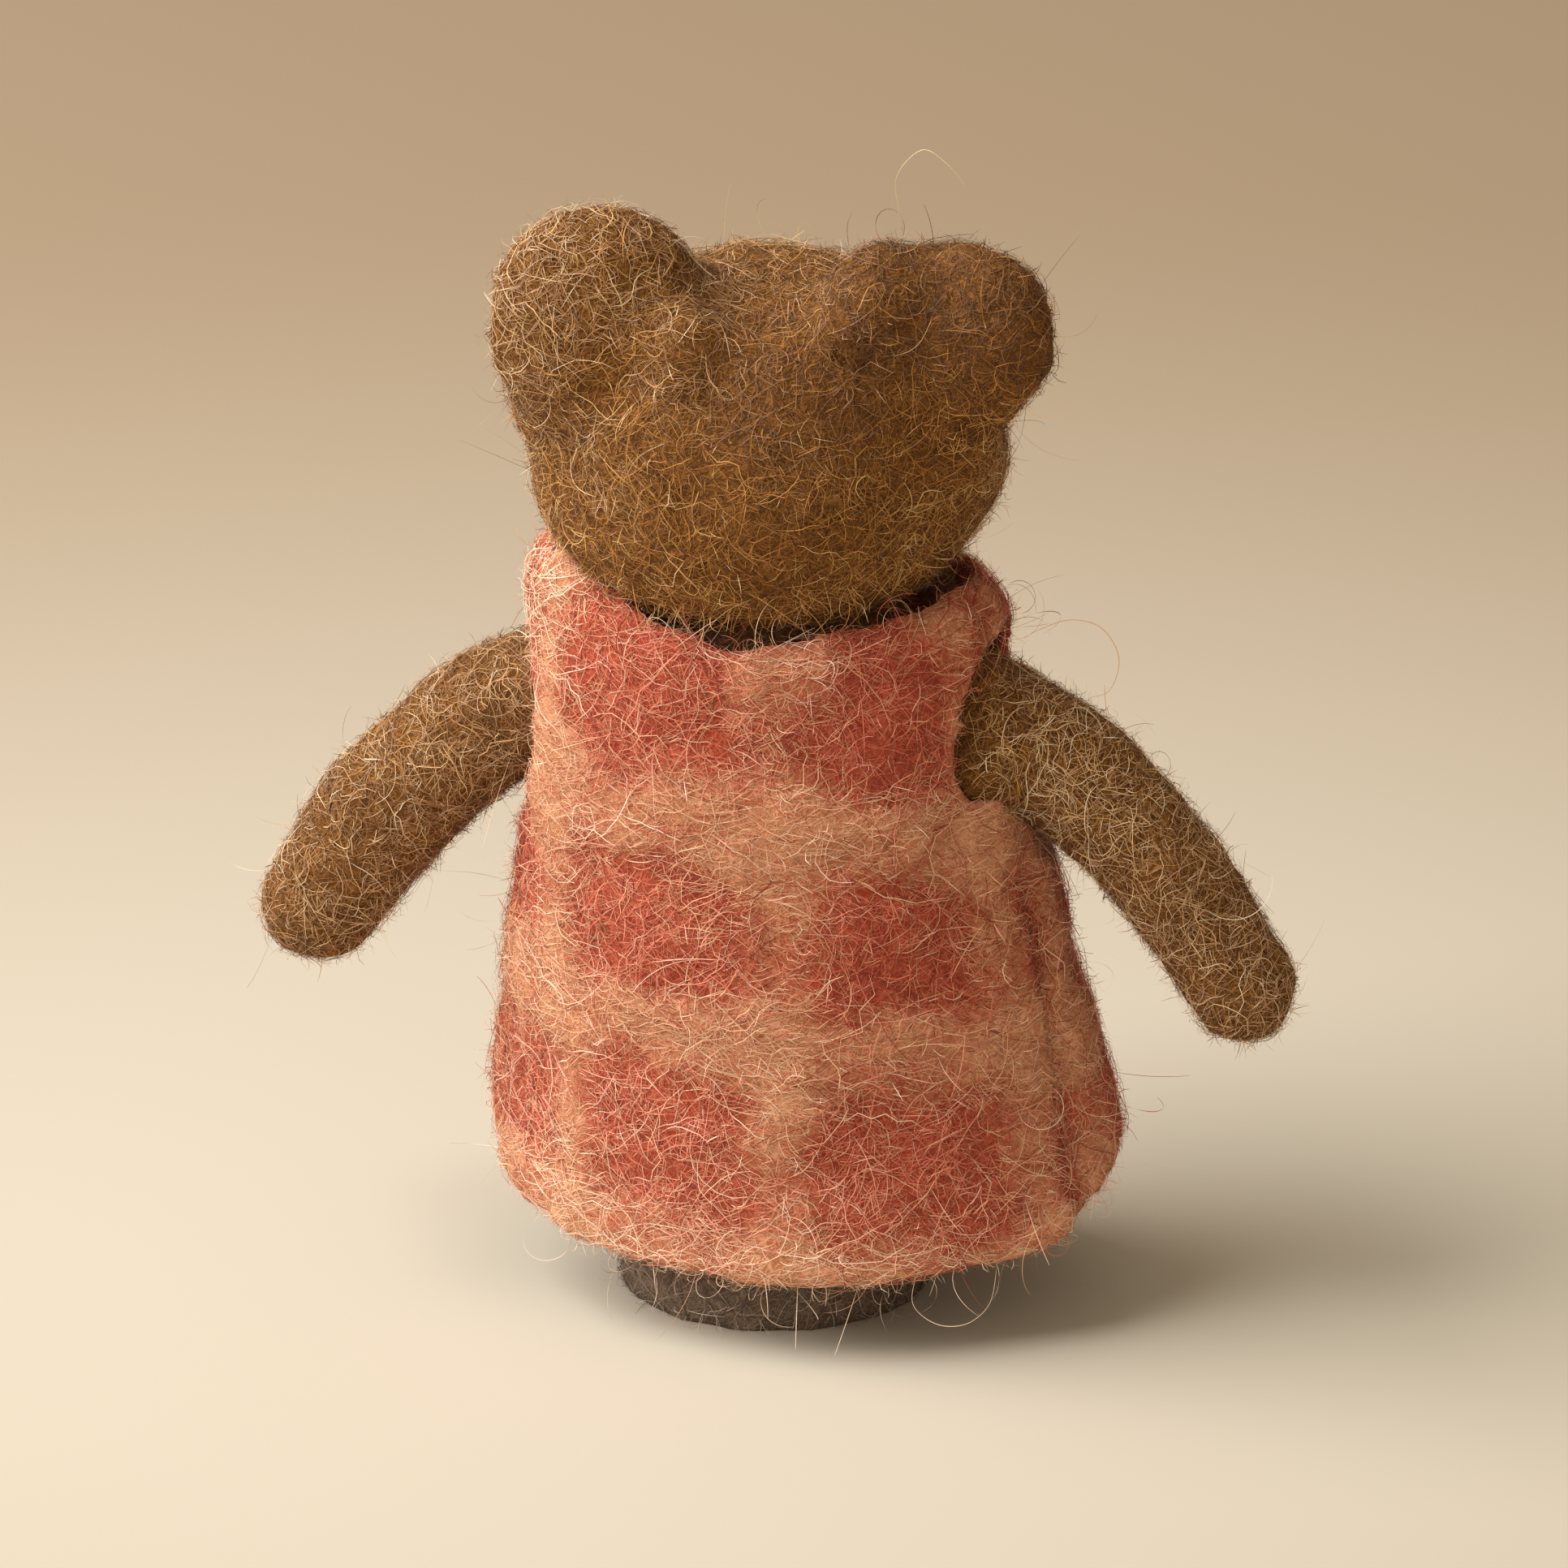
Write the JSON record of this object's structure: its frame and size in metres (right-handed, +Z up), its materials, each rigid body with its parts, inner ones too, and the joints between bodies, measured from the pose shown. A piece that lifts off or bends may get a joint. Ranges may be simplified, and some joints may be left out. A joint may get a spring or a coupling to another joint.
{
  "type": "finger puppet",
  "caption": "Felted wool bear finger puppet with hanging arms, in a sleeveless A-line plaid felt dress over a tube that takes one finger.",
  "frame": {"origin": "on the surface that the puppet stands on, below the middle of its bounding box", "axes": "+Z up along the finger, -Y out of the face, +X to the puppet's left"},
  "size_m": [0.0849, 0.0423, 0.0928],
  "materials": {
    "brown_wool": "matte",
    "light_brown_wool": "matte",
    "dark_wool": "matte",
    "plaid_felt": "matte"
  },
  "bodies": {
    "root": {"body": "brown_wool", "head": "brown_wool", "left_ear": "brown_wool", "right_ear": "brown_wool", "left_arm": "brown_wool", "right_arm": "brown_wool", "muzzle": "light_brown_wool", "nose": "dark_wool", "left_eye": "dark_wool", "right_eye": "dark_wool", "dress": "plaid_felt"}
  },
  "joints": []
}
